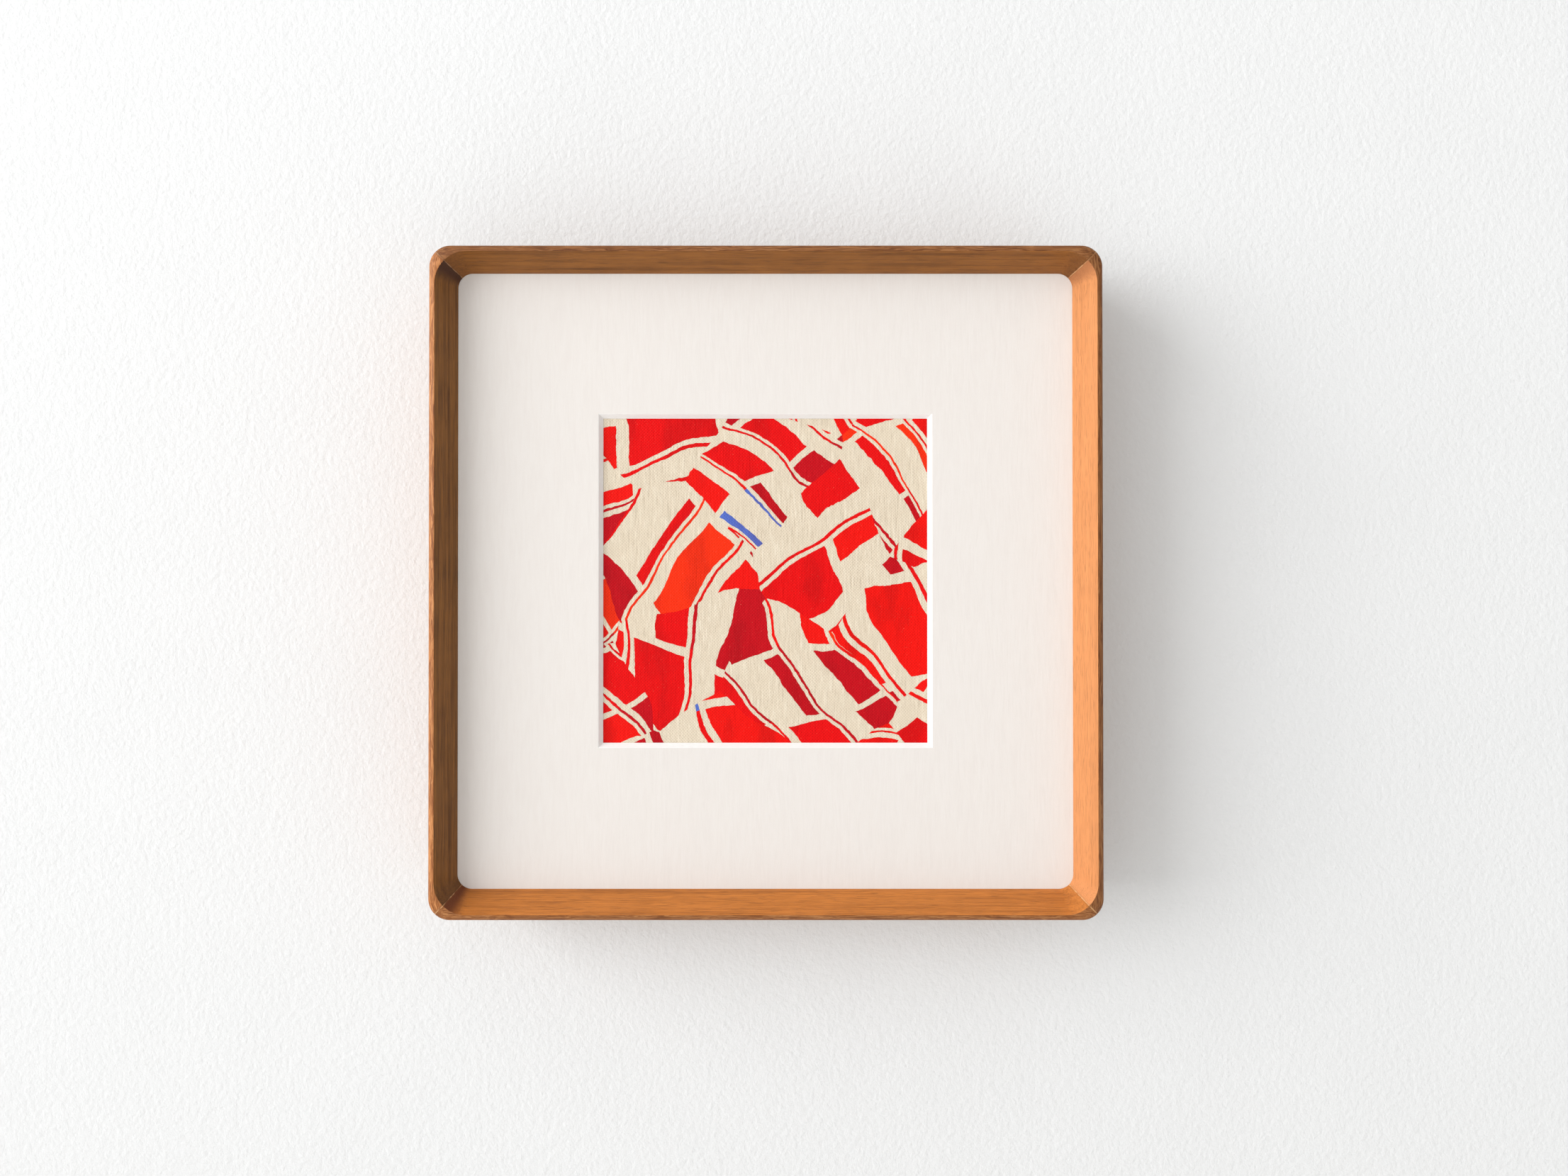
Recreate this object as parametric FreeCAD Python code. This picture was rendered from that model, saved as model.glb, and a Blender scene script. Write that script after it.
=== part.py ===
import FreeCAD, Part
import math
import os

# A floating frame: a slim hardwood box frame with splayed inner faces and rounded corners, round a
# window mat and a small painting on linen. A French cleat and a lower spacer hold it off the wall.
#
# Millimetres. +X is right and +Z is up, as seen by someone who looks at the picture. The viewer is
# on the -Y side and the wall is the plane Y = 0. The origin lies in the wall plane, midway between
# the wall cleat's two screw holes. A "depth" is a distance behind the rails' front ridge.

# ---- The frame's rails ----
OUTER_SIZE = 310.0          # outside width and height
OUTER_RADIUS = 9.7          # outside corner, seen from the front
RIDGE_INSET = 3.0           # from the outside face to the front ridge
ROUNDOVER_DEPTH = 2.6       # how far the rounded outer edge runs back from the ridge
ROUNDOVER_SHARES = [(0.0, 1.0), (0.12, 0.62), (0.34, 0.33), (0.64, 0.12)]  # (inset, depth) shares
RIDGE_RADIUS = 14.6         # the ridge's corner
SPLAY_INSET = 7.7           # how far the inner face leans in, from the ridge to the mat
LIP_DEPTH = 14.5            # from the ridge back to the mat
LIP_WIDTH = 4.7             # how far the lip covers the mat's edge
BACK_CHAMFER = 0.6          # round the outside of the rails' back
KEY_THICKNESS = 2.0         # slip feather that is glued across each mitre
KEY_DEPTH = 8.5             # the feather's front face
KEY_REACH = 7.0             # how far the feather goes in from the corner, along the diagonal

# ---- What the rebate holds, from the front to the back ----
BOARD_CLEARANCE = 0.5       # round each board, on every side
MAT_THICKNESS = 2.0
WINDOW_FACE = 156.8         # the mat's window at its front face; its bevel is cut at 45 degrees
CANVAS_THICKNESS = 0.8
ARTWORK_SIZE = 160.0
ARTWORK_PANEL_THICKNESS = 3.0
SINK_THICKNESS = 4.0        # strips that fill the layer round the painting
SINK_CLEARANCE = 1.0
BACKING_THICKNESS = 2.0
FILLER_THICKNESS = 5.0
FILLER_COUNT = 2
PANEL_THICKNESS = 9.0

# ---- Tapes ----
MAT_TAPE_LENGTH = 250.0
MAT_TAPE_THICKNESS = 0.2
HINGE_WIDTH = 14.0
HINGE_HEIGHT = 22.0
HINGE_THICKNESS = 0.15
HINGE_OFFSET = 50.0         # each hinge's distance from the centre line

# ---- Turn buttons ----
BUTTON_LENGTH = 20.0
BUTTON_WIDTH = 6.0
BUTTON_THICKNESS = 1.0
BUTTON_OFFSET = 85.0        # each button's distance from the middle of its rail
BUTTON_GAP = 0.1            # between the button and what it turns on
BUTTON_HOLE_RADIUS = 1.3
BUTTON_EDGE_FILLET = 0.25
PIVOT_RADIUS = 1.2
PIVOT_LENGTH = 10.0         # in the rail
PIVOT_HEAD_RADIUS = 2.4
PIVOT_HEAD_HEIGHT = 1.4
PIVOT_SLOT_WIDTH = 0.6
PIVOT_SLOT_DEPTH = 0.7

# ---- What holds the frame off the wall ----
WALL_GAP = 12.0             # from the wall to the back of the rails
CLEAT_LENGTH = 200.0
CLEAT_CLEARANCE = 0.2       # between the two cleats, and between each cleat and what it faces
WALL_CLEAT_BOTTOM = -16.0
WALL_CLEAT_TOP = 10.0       # at the wall; the top slopes up at 45 degrees, away from the wall
FRAME_CLEAT_TOP = 48.0
CLEAT_TOP_TO_FRAME_TOP = 27.0
CLEAT_CHAMFER = 1.0
WALL_HOLE_SPACING = 160.0
WALL_HOLE_RADIUS = 2.25
WALL_COUNTERSINK_RADIUS = 4.5
SPACER_LENGTH = 200.0
SPACER_HEIGHT = 24.0
SPACER_TO_FRAME_BOTTOM = 27.0
BUMPER_THICKNESS = 3.0
BUMPER_RADIUS = 7.0
BUMPER_FILLET = 0.7
BUMPER_OFFSET = 80.0

# ---- Screws through the back panel ----
SCREW_RADIUS = 1.75
SCREW_HEAD_RADIUS = 3.5
SCREW_HEAD_HEIGHT = 1.9
SCREW_PAST_PANEL = 7.5      # how far each goes past the back panel
SCREW_RECESS_WIDTH = 0.9
SCREW_RECESS_DEPTH = 1.3
CLEAT_SCREWS_X = (-70.0, 0.0, 70.0)
SPACER_SCREWS_X = (-50.0, 50.0)

# ---- Worked out from the above ----
HALF = OUTER_SIZE / 2
RIDGE_HALF = HALF - RIDGE_INSET
SIGHT_HALF = RIDGE_HALF - SPLAY_INSET
REBATE_HALF = SIGHT_HALF + LIP_WIDTH
BOARD_HALF = REBATE_HALF - BOARD_CLEARANCE
SINK_HALF = ARTWORK_SIZE / 2 + SINK_CLEARANCE

MAT_FRONT = LIP_DEPTH
SINK_FRONT = MAT_FRONT + MAT_THICKNESS
BACKING_FRONT = SINK_FRONT + SINK_THICKNESS
FILLER_FRONT = BACKING_FRONT + BACKING_THICKNESS
PANEL_FRONT = FILLER_FRONT + FILLER_COUNT * FILLER_THICKNESS
FRAME_DEPTH = PANEL_FRONT + PANEL_THICKNESS

RIDGE_Y = -(WALL_GAP + FRAME_DEPTH)
CENTRE_Z = FRAME_CLEAT_TOP + CLEAT_TOP_TO_FRAME_TOP - HALF
SPACER_BOTTOM = CENTRE_Z - HALF + SPACER_TO_FRAME_BOTTOM
CLEAT_THICKNESS = WALL_GAP - CLEAT_CLEARANCE
SPACER_THICKNESS = WALL_GAP - BUMPER_THICKNESS

X_AXIS = FreeCAD.Vector(1, 0, 0)
Y_AXIS = FreeCAD.Vector(0, 1, 0)
SIDES = {"top": (0, 1), "right": (1, 0), "bottom": (0, -1), "left": (-1, 0)}


def point(x, depth, z):
    """A point given from the frame's centre line, its ridge plane and its middle height."""
    return FreeCAD.Vector(x, RIDGE_Y + depth, CENTRE_Z + z)


def block(x_range, depth_range, z_range):
    """A plain block between two x, two depths and two heights from the frame's centre."""
    low = point(x_range[0], depth_range[0], z_range[0])
    size = [high - low_end for low_end, high in (x_range, depth_range, z_range)]
    return Part.makeBox(size[0], size[1], size[2], low)


def square_board(half, front, thickness):
    return block((-half, half), (front, front + thickness), (-half, half))


def square_wire(half, depth):
    corners = [point(-half, depth, -half), point(half, depth, -half)]
    corners += [point(half, depth, half), point(-half, depth, half)]
    return Part.makePolygon(corners + corners[:1])


def rounded_square(half, radius, depth):
    """A square outline with round corners, parallel to the wall."""
    straight = half - radius

    def corner_point(corner, degrees):
        turn = math.radians(90 * corner)
        centre_x = straight * (math.cos(turn) - math.sin(turn))
        centre_z = straight * (math.sin(turn) + math.cos(turn))
        angle = turn + math.radians(degrees)
        return point(centre_x + radius * math.cos(angle), depth, centre_z + radius * math.sin(angle))

    edges = []
    for corner in range(4):
        start, middle, end = [corner_point(corner, degrees) for degrees in (0, 45, 90)]
        edges.append(Part.Arc(start, middle, end).toShape())
        edges.append(Part.makeLine(end, corner_point(corner + 1, 0)))
    return Part.Wire(edges)


def loft(wires):
    return Part.makeLoft(wires, True, True)


def prism(outline, length, direction):
    """A closed outline of points, extruded."""
    face = Part.Face(Part.makePolygon(outline + outline[:1]))
    return face.extrude(direction * length)


def frame_blank():
    """The four rails as one closed ring, before the mitres are cut."""
    insets = [(share * RIDGE_INSET, depth * ROUNDOVER_DEPTH) for share, depth in ROUNDOVER_SHARES]
    insets.append((RIDGE_INSET, 0.0))
    growth = (RIDGE_RADIUS - OUTER_RADIUS) / RIDGE_INSET
    outlines = [
        rounded_square(HALF - inset, OUTER_RADIUS + growth * inset, depth)
        for inset, depth in insets
    ]
    back = [
        rounded_square(HALF - BACK_CHAMFER, OUTER_RADIUS - BACK_CHAMFER, FRAME_DEPTH),
        rounded_square(HALF, OUTER_RADIUS, FRAME_DEPTH - BACK_CHAMFER),
    ]
    body = loft(back + outlines)
    splay = loft([
        rounded_square(RIDGE_HALF, RIDGE_RADIUS, 0.0),
        rounded_square(SIGHT_HALF, RIDGE_RADIUS - SPLAY_INSET, LIP_DEPTH),
    ])
    rebate = square_board(REBATE_HALF, LIP_DEPTH, FRAME_DEPTH - LIP_DEPTH)
    return body.cut(splay).cut(rebate)


def corner_keys(blank):
    """A slip feather across each mitre, flush with the rounded corner."""
    corner = (HALF - OUTER_RADIUS) * 2 + OUTER_RADIUS * 2 ** 0.5
    cut_line = corner - KEY_REACH * 2 ** 0.5
    keys = {}
    for vertical, z in (("top", 1), ("bottom", -1)):
        for side, x in (("left", -1), ("right", 1)):
            outline = [
                point(x * (cut_line - HALF), KEY_DEPTH, z * HALF),
                point(x * HALF, KEY_DEPTH, z * (cut_line - HALF)),
                point(x * HALF, KEY_DEPTH, z * HALF),
            ]
            wedge = prism(outline, KEY_THICKNESS, Y_AXIS)
            keys["corner_key_%s_%s" % (vertical, side)] = blank.common(wedge)
    return keys


def rails(blank, keys, pivots):
    """The blank cut along its mitres, less the feathers' slots and the turn buttons' pilot holes."""
    reach = OUTER_SIZE
    for tool in list(keys.values()) + pivots:
        blank = blank.cut(tool)
    shapes = {}
    for side, (x, z) in SIDES.items():
        outline = [
            point(0, 0, 0),
            point((x - z) * reach, 0, (z + x) * reach),
            point((x + z) * reach, 0, (z - x) * reach),
        ]
        shapes["rail_" + side] = blank.common(prism(outline, FRAME_DEPTH, Y_AXIS))
    return shapes


def window_mat():
    window_back = WINDOW_FACE / 2 - MAT_THICKNESS
    window = loft([
        square_wire(WINDOW_FACE / 2, MAT_FRONT),
        square_wire(window_back, SINK_FRONT),
    ])
    return square_board(BOARD_HALF, MAT_FRONT, MAT_THICKNESS).cut(window)


def sink_strips():
    """Four butted strips that bring the layer round the painting up to its thickness."""
    layer = (SINK_FRONT, BACKING_FRONT)
    full = (-BOARD_HALF, BOARD_HALF)
    middle = (-SINK_HALF, SINK_HALF)
    high = (SINK_HALF, BOARD_HALF)
    low = (-BOARD_HALF, -SINK_HALF)
    return {
        "sink_strip_top": block(full, layer, high),
        "sink_strip_bottom": block(full, layer, low),
        "sink_strip_left": block(low, layer, middle),
        "sink_strip_right": block(high, layer, middle),
    }


def mat_hinge_tape():
    """Linen tape over the top edges of the mat, the sink strip and the backing board."""
    across = (-MAT_TAPE_LENGTH / 2, MAT_TAPE_LENGTH / 2)
    return block(across, (MAT_FRONT, FILLER_FRONT), (BOARD_HALF, BOARD_HALF + MAT_TAPE_THICKNESS))


def artwork_hinges():
    """Two paper hinges between the painting's panel and the backing board."""
    layer = (BACKING_FRONT - HINGE_THICKNESS, BACKING_FRONT)
    tabs = []
    for x in (-HINGE_OFFSET, HINGE_OFFSET):
        across = (x - HINGE_WIDTH / 2, x + HINGE_WIDTH / 2)
        tabs.append(block(across, layer, (SINK_HALF - HINGE_HEIGHT, SINK_HALF)))
    return Part.makeCompound(tabs)


def button_places():
    """Name: (pivot x, pivot z, direction of the tip) for each turn button, two to a rail."""
    middle = (HALF + REBATE_HALF) / 2
    places = {}
    for side, (x, z) in SIDES.items():
        for sign in (-1, 1):
            word = ("left", "right") if z else ("lower", "upper")
            name = "turn_button_%s_%s" % (side, word[sign > 0])
            pivot_x = x * middle + abs(z) * sign * BUTTON_OFFSET
            pivot_z = z * middle + abs(x) * sign * BUTTON_OFFSET
            places[name] = (pivot_x, pivot_z, (-x, -z))
    return places


def turn_button(pivot_x, pivot_z, tip):
    """A flat plate with round ends. Its pivot hole is at the end that lies on the rail."""
    radius = BUTTON_WIDTH / 2
    back = FRAME_DEPTH + BUTTON_GAP
    span = BUTTON_LENGTH - BUTTON_WIDTH
    tip_x = pivot_x + tip[0] * span
    tip_z = pivot_z + tip[1] * span
    half_x = radius * abs(tip[1])
    half_z = radius * abs(tip[0])
    x_range = (min(pivot_x, tip_x) - half_x, max(pivot_x, tip_x) + half_x)
    z_range = (min(pivot_z, tip_z) - half_z, max(pivot_z, tip_z) + half_z)
    plate = block(x_range, (back, back + BUTTON_THICKNESS), z_range)
    for x, z in ((pivot_x, pivot_z), (tip_x, tip_z)):
        plate = plate.fuse(Part.makeCylinder(radius, BUTTON_THICKNESS, point(x, back, z), Y_AXIS))
    plate = plate.removeSplitter()
    rim = [edge for edge in plate.Edges if edge.BoundBox.YMin > RIDGE_Y + back + BUTTON_THICKNESS / 2]
    plate = plate.makeFillet(BUTTON_EDGE_FILLET, rim)
    hole = Part.makeCylinder(BUTTON_HOLE_RADIUS, BUTTON_THICKNESS, point(pivot_x, back, pivot_z), Y_AXIS)
    return plate.cut(hole)


def pivot_shank(x, z):
    start = FRAME_DEPTH - PIVOT_LENGTH
    length = PIVOT_LENGTH + 2 * BUTTON_GAP + BUTTON_THICKNESS
    return Part.makeCylinder(PIVOT_RADIUS, length, point(x, start, z), Y_AXIS)


def pivot_screw(x, z):
    """A slotted round-head screw that a turn button swings on."""
    seat = FRAME_DEPTH + 2 * BUTTON_GAP + BUTTON_THICKNESS
    base = Part.makeCylinder(PIVOT_HEAD_RADIUS, PIVOT_HEAD_HEIGHT, point(x, seat, z), Y_AXIS)
    dome_radius = (PIVOT_HEAD_RADIUS ** 2 + PIVOT_HEAD_HEIGHT ** 2) / (2 * PIVOT_HEAD_HEIGHT)
    dome = Part.makeSphere(dome_radius, point(x, seat + PIVOT_HEAD_HEIGHT - dome_radius, z))
    top = seat + PIVOT_HEAD_HEIGHT
    slot = block(
        (x - PIVOT_HEAD_RADIUS, x + PIVOT_HEAD_RADIUS),
        (top - PIVOT_SLOT_DEPTH, top),
        (z - PIVOT_SLOT_WIDTH / 2, z + PIVOT_SLOT_WIDTH / 2),
    )
    slot.rotate(point(x, top, z), Y_AXIS, 35)
    return pivot_shank(x, z).fuse(base.common(dome)).cut(slot)


def panel_screw_blank(x, z):
    """The space that a countersunk screw fills, from the panel's front face into what it holds."""
    length = PANEL_THICKNESS + SCREW_PAST_PANEL
    shank = Part.makeCylinder(SCREW_RADIUS, length, point(x, PANEL_FRONT, z), Y_AXIS)
    head = Part.makeCone(
        SCREW_HEAD_RADIUS, SCREW_RADIUS, SCREW_HEAD_HEIGHT, point(x, PANEL_FRONT, z), Y_AXIS
    )
    return shank.fuse(head)


def panel_screw(x, z):
    recess_end = PANEL_FRONT + SCREW_RECESS_DEPTH
    arm = SCREW_RADIUS
    half = SCREW_RECESS_WIDTH / 2
    upright = block((x - half, x + half), (PANEL_FRONT, recess_end), (z - arm, z + arm))
    level = block((x - arm, x + arm), (PANEL_FRONT, recess_end), (z - half, z + half))
    return panel_screw_blank(x, z).cut(upright.fuse(level))


def side_view(outline, length):
    """A bar along X, from its outline as (y, z) points in the wall's own coordinates."""
    points = [FreeCAD.Vector(-length / 2, y, z) for y, z in outline]
    return prism(points, length, X_AXIS)


def wall_cleat():
    """The half of the French cleat that is screwed to the wall."""
    front = -CLEAT_THICKNESS
    tip = WALL_CLEAT_TOP + CLEAT_THICKNESS
    bar = side_view([
        (0.0, WALL_CLEAT_BOTTOM),
        (0.0, WALL_CLEAT_TOP),
        (front + CLEAT_CHAMFER, tip - CLEAT_CHAMFER),
        (front, tip - 2 * CLEAT_CHAMFER),
        (front, WALL_CLEAT_BOTTOM + CLEAT_CHAMFER),
        (front + CLEAT_CHAMFER, WALL_CLEAT_BOTTOM),
    ], CLEAT_LENGTH)
    sink = WALL_COUNTERSINK_RADIUS - WALL_HOLE_RADIUS
    for x in (-WALL_HOLE_SPACING / 2, WALL_HOLE_SPACING / 2):
        start = FreeCAD.Vector(x, front, 0)
        bar = bar.cut(Part.makeCylinder(WALL_HOLE_RADIUS, CLEAT_THICKNESS, start, Y_AXIS))
        bar = bar.cut(Part.makeCone(WALL_COUNTERSINK_RADIUS, WALL_HOLE_RADIUS, sink, start, Y_AXIS))
    return bar


def frame_cleat():
    """The half that is screwed to the frame's back panel and hooks over the wall cleat."""
    front = -WALL_GAP
    back = -CLEAT_CLEARANCE
    gap = CLEAT_CLEARANCE * 2 ** 0.5
    foot = WALL_CLEAT_TOP + gap - back
    return side_view([
        (front, FRAME_CLEAT_TOP),
        (front, WALL_CLEAT_TOP + gap - front),
        (back - CLEAT_CHAMFER, foot + CLEAT_CHAMFER),
        (back, foot + 2 * CLEAT_CHAMFER),
        (back, FRAME_CLEAT_TOP - CLEAT_CHAMFER),
        (back - CLEAT_CHAMFER, FRAME_CLEAT_TOP),
    ], CLEAT_LENGTH)


def lower_spacer():
    """The batten that keeps the frame's lower edge as far off the wall as the cleat does."""
    front = -WALL_GAP
    back = front + SPACER_THICKNESS
    top = SPACER_BOTTOM + SPACER_HEIGHT
    return side_view([
        (front, SPACER_BOTTOM),
        (front, top),
        (back - CLEAT_CHAMFER, top),
        (back, top - CLEAT_CHAMFER),
        (back, SPACER_BOTTOM + CLEAT_CHAMFER),
        (back - CLEAT_CHAMFER, SPACER_BOTTOM),
    ], SPACER_LENGTH)


def bumper(x):
    middle = SPACER_BOTTOM + SPACER_HEIGHT / 2
    start = FreeCAD.Vector(x, -BUMPER_THICKNESS, middle)
    pad = Part.makeCylinder(BUMPER_RADIUS, BUMPER_THICKNESS, start, Y_AXIS)
    rim = [edge for edge in pad.Edges if edge.BoundBox.YMin > -BUMPER_THICKNESS / 2]
    return pad.makeFillet(BUMPER_FILLET, rim)


def all_parts():
    """Every node's shape, by name."""
    places = button_places()
    shanks = [pivot_shank(x, z) for x, z, tip in places.values()]
    blank = frame_blank()
    keys = corner_keys(blank)
    parts = rails(blank, keys, shanks)
    parts.update(keys)

    parts["window_mat"] = window_mat()
    half = ARTWORK_SIZE / 2
    parts["artwork_canvas"] = square_board(half, SINK_FRONT, CANVAS_THICKNESS)
    panel_front = SINK_FRONT + CANVAS_THICKNESS
    parts["artwork_panel"] = square_board(half, panel_front, ARTWORK_PANEL_THICKNESS)
    parts.update(sink_strips())
    parts["mat_hinge_tape"] = mat_hinge_tape()
    parts["artwork_hinges"] = artwork_hinges()
    parts["backing_board"] = square_board(BOARD_HALF, BACKING_FRONT, BACKING_THICKNESS)
    for layer, name in enumerate(("filler_board_front", "filler_board_back")):
        front = FILLER_FRONT + layer * FILLER_THICKNESS
        parts[name] = square_board(BOARD_HALF, front, FILLER_THICKNESS)

    cleat_z = (WALL_CLEAT_TOP + WALL_GAP + FRAME_CLEAT_TOP) / 2 - CENTRE_Z
    spacer_z = SPACER_BOTTOM + SPACER_HEIGHT / 2 - CENTRE_Z
    screws = [(x, cleat_z) for x in CLEAT_SCREWS_X] + [(x, spacer_z) for x in SPACER_SCREWS_X]
    panel = square_board(BOARD_HALF, PANEL_FRONT, PANEL_THICKNESS)
    cleat = frame_cleat()
    spacer = lower_spacer()
    for x, z in screws:
        hole = panel_screw_blank(x, z)
        panel = panel.cut(hole)
        cleat = cleat.cut(hole)
        spacer = spacer.cut(hole)
    parts["back_panel"] = panel
    parts["frame_cleat"] = cleat
    parts["lower_spacer"] = spacer
    parts["panel_screws"] = Part.makeCompound([panel_screw(x, z) for x, z in screws])
    parts["bumper_left"] = bumper(-BUMPER_OFFSET)
    parts["bumper_right"] = bumper(BUMPER_OFFSET)

    for name, (x, z, tip) in places.items():
        parts[name] = turn_button(x, z, tip)
    pivots = [pivot_screw(x, z) for x, z, tip in places.values()]
    parts["turn_button_screws"] = Part.makeCompound(pivots)
    parts["wall_cleat"] = wall_cleat()
    return parts


os.makedirs("parts", exist_ok=True)
for node, shape in all_parts().items():
    shape.exportStep("parts/%s.step" % node)
    box = shape.BoundBox
    print("%-28s solids %d valid %s volume %9.1f  x %.1f..%.1f  y %.1f..%.1f  z %.1f..%.1f" % (
        node, len(shape.Solids), shape.isValid(), shape.Volume,
        box.XMin, box.XMax, box.YMin, box.YMax, box.ZMin, box.ZMax))
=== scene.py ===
import math

import bpy
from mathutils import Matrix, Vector, noise


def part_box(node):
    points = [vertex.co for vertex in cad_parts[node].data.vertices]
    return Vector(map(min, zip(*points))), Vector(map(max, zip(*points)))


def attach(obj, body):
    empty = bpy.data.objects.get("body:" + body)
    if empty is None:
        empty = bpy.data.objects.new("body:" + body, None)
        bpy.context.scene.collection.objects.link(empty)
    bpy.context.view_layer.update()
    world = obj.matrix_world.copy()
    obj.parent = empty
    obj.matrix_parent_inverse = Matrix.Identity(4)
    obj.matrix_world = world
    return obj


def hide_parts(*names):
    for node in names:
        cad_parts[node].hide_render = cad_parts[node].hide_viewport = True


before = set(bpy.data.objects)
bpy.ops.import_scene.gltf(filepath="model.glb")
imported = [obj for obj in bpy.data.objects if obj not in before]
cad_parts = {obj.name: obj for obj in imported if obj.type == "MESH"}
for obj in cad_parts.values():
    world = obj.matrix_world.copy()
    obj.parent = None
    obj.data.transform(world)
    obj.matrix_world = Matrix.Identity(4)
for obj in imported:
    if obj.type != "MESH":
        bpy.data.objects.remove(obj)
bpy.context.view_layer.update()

# A hardwood floating frame round a window mat and a small painting on linen, hung on a plain wall.
# Metres, in the part's own frame: the viewer is on the -Y side and the wall is the plane Y = 0.

MM = 0.001

# ---- Places, from the part ----
TOP_LOW, TOP_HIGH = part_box("rail_top")
BOTTOM_LOW, BOTTOM_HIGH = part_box("rail_bottom")
MAT_LOW, MAT_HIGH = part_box("window_mat")
CANVAS_LOW, CANVAS_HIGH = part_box("artwork_canvas")
SIDE_LOW, SIDE_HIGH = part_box("rail_right")
CENTRE = Vector((0, 0, (TOP_HIGH.z + BOTTOM_LOW.z) / 2))
RIDGE_Y = TOP_LOW.y
HALF = SIDE_HIGH.x
DEPTH = TOP_HIGH.y - TOP_LOW.y
LIP_DEPTH = MAT_LOW.y - RIDGE_Y

# ---- The rails' section, as the part has it ----
OUTER_RADIUS = 9.7 * MM
RIDGE_RADIUS = 14.6 * MM
RIDGE_INSET = 3.0 * MM
ROUNDOVER_DEPTH = 2.6 * MM
SPLAY_INSET = 7.7 * MM
REBATE_INSET = 6.0 * MM
BACK_CHAMFER = 0.6 * MM
ARRIS = 0.25 * MM           # how much the ridge and the lip's edge are eased
KEY_FRONT = 8.5 * MM
KEY_THICKNESS = 2.0 * MM
KEY_REACH = 7.0 * MM

# ---- The mat ----
WINDOW_HALF = 78.4 * MM
CORE_BEVEL = MAT_HIGH.y - MAT_LOW.y

# ---- The linen ----
THREAD_PITCH = 0.70         # millimetres from one thread to the next, about 14 to the centimetre

# The rails' outside, from its dark streaks to its light ones.
EDGE_TONES = (0.20, 0.060, 0.014), (0.36, 0.125, 0.032), (0.58, 0.250, 0.085)

SIDES = {
    "top": Vector((0, 0, 1)),
    "right": Vector((1, 0, 0)),
    "bottom": Vector((0, 0, -1)),
    "left": Vector((-1, 0, 0)),
}


# ------------------------------------------------------------------ materials

class Shade:
    """A material's node tree, built with short calls. Lengths are in millimetres."""

    def __init__(self, name, **constants):
        self.material = bpy.data.materials.new(name)
        self.material.use_nodes = True
        self.tree = self.material.node_tree
        self.shader = self.tree.nodes["Principled BSDF"]
        for socket, value in constants.items():
            self.shader.inputs[socket.replace("_", " ")].default_value = value
        self.coordinates = self.node("ShaderNodeTexCoord")
        origin = self.node("ShaderNodeCombineXYZ", {"X": 0.0, "Y": RIDGE_Y, "Z": CENTRE.z})
        moved = self.vector("SUBTRACT", self.coordinates.outputs["Object"], origin.outputs[0])
        self.place = self.scaled(moved, 1 / MM)
        split = self.node("ShaderNodeSeparateXYZ", {0: self.place})
        self.x, self.depth, self.z = split.outputs

    def node(self, kind, inputs=None, **properties):
        made = self.tree.nodes.new(kind)
        for name, value in properties.items():
            setattr(made, name, value)
        for key, value in (inputs or {}).items():
            self.feed(made.inputs[key], value)
        return made

    def feed(self, socket, value):
        if isinstance(value, bpy.types.NodeSocket):
            self.tree.links.new(value, socket)
        else:
            socket.default_value = value

    def vector(self, operation, first, second):
        return self.node("ShaderNodeVectorMath", {0: first, 1: second}, operation=operation).outputs[0]

    def scaled(self, vector, factor):
        made = self.node("ShaderNodeVectorMath", {0: vector, "Scale": factor}, operation="SCALE")
        return made.outputs[0]

    def math(self, operation, *values, clamp=False):
        inputs = dict(enumerate(values))
        return self.node("ShaderNodeMath", inputs, operation=operation, use_clamp=clamp).outputs[0]

    def combine(self, x, y, z):
        return self.node("ShaderNodeCombineXYZ", {0: x, 1: y, 2: z}).outputs[0]

    def noise(self, vector, cell, detail=2.0, roughness=0.5, distortion=0.0):
        """Noise from 0 to 1 whose cells have these sizes along the vector's three directions."""
        stretched = self.vector("DIVIDE", vector, tuple(cell))
        inputs = {"Vector": stretched, "Scale": 1.0, "Detail": detail, "Roughness": roughness,
                  "Distortion": distortion}
        return self.node("ShaderNodeTexNoise", inputs).outputs["Fac"]

    def between(self, value, low, high, to_low=0.0, to_high=1.0):
        """A smooth step from one value to another."""
        inputs = {"Value": value, "From Min": low, "From Max": high, "To Min": to_low, "To Max": to_high}
        made = self.node("ShaderNodeMapRange", inputs, interpolation_type="SMOOTHSTEP")
        return made.outputs[0]

    def ramp(self, value, stops, constant=False):
        made = self.node("ShaderNodeValToRGB", {"Fac": value})
        made.color_ramp.interpolation = "CONSTANT" if constant else "LINEAR"
        elements = made.color_ramp.elements
        while len(elements) < len(stops):
            elements.new(0.5)
        for element, (position, colour) in zip(elements, stops):
            element.position = position
            element.color = (*colour, 1)
        return made.outputs["Color"]

    def mix(self, factor, first, second, blend="MIX"):
        made = self.node("ShaderNodeMix", data_type="RGBA", blend_type=blend)
        for socket, value in ((made.inputs[0], factor), (made.inputs[6], first), (made.inputs[7], second)):
            if isinstance(value, tuple):
                value = (*value, 1)
            self.feed(socket, value)
        return made.outputs[2]

    def bump(self, height, distance, strength=1.0, under=None):
        """Heights from 0 to 1 that stand this many millimetres proud."""
        inputs = {"Height": height, "Distance": distance * MM, "Strength": strength}
        if under is not None:
            inputs["Normal"] = under
        return self.node("ShaderNodeBump", inputs).outputs[0]

    def finish(self, colour, roughness=None, normal=None):
        self.feed(self.shader.inputs["Base Color"], colour)
        if roughness is not None:
            self.feed(self.shader.inputs["Roughness"], roughness)
        if normal is not None:
            self.feed(self.shader.inputs["Normal"], normal)
        return self.material


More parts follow.
